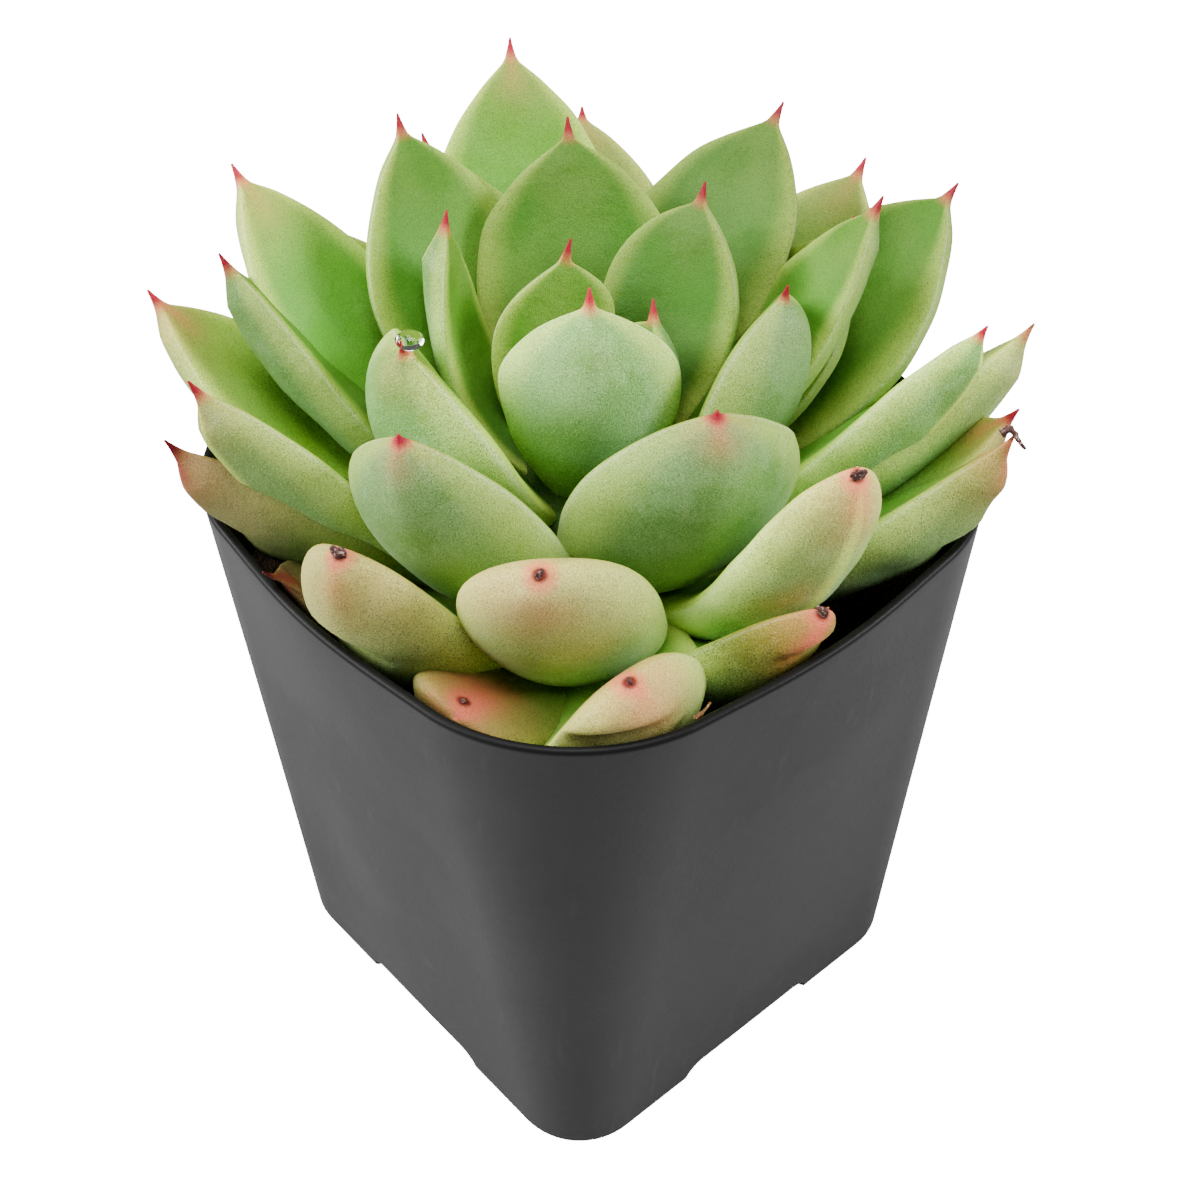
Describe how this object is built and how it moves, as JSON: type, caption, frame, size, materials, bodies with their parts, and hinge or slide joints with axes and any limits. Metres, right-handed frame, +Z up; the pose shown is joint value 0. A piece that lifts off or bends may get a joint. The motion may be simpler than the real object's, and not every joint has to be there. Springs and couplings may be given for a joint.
{
  "type": "potted echeveria",
  "caption": "Rosette of thick, pointed, upturned succulent leaves on a short stem, standing in the soil of a small square nursery pot with bowed sides and drain notches at its foot.",
  "frame": {"origin": "middle of the pot's base, on the surface that the pot stands on", "axes": "+Z up along the plant's stem, +X and +Y square to two of the pot's flat sides; the picture looks at the corner between +X and -Y"},
  "size_m": [0.0599, 0.0626, 0.0801],
  "materials": {
    "charcoal_plastic": "satin charcoal moulded plastic with faint scuffs",
    "dark_soil": "dark peat and bark potting mix with pale grit",
    "green_leaf": "matt glaucous green leaf with a powdery bloom, pale margins and red tips"
  },
  "bodies": {
    "root": {"pot": "charcoal_plastic", "soil": "dark_soil", "rosette": "green_leaf"}
  },
  "joints": []
}
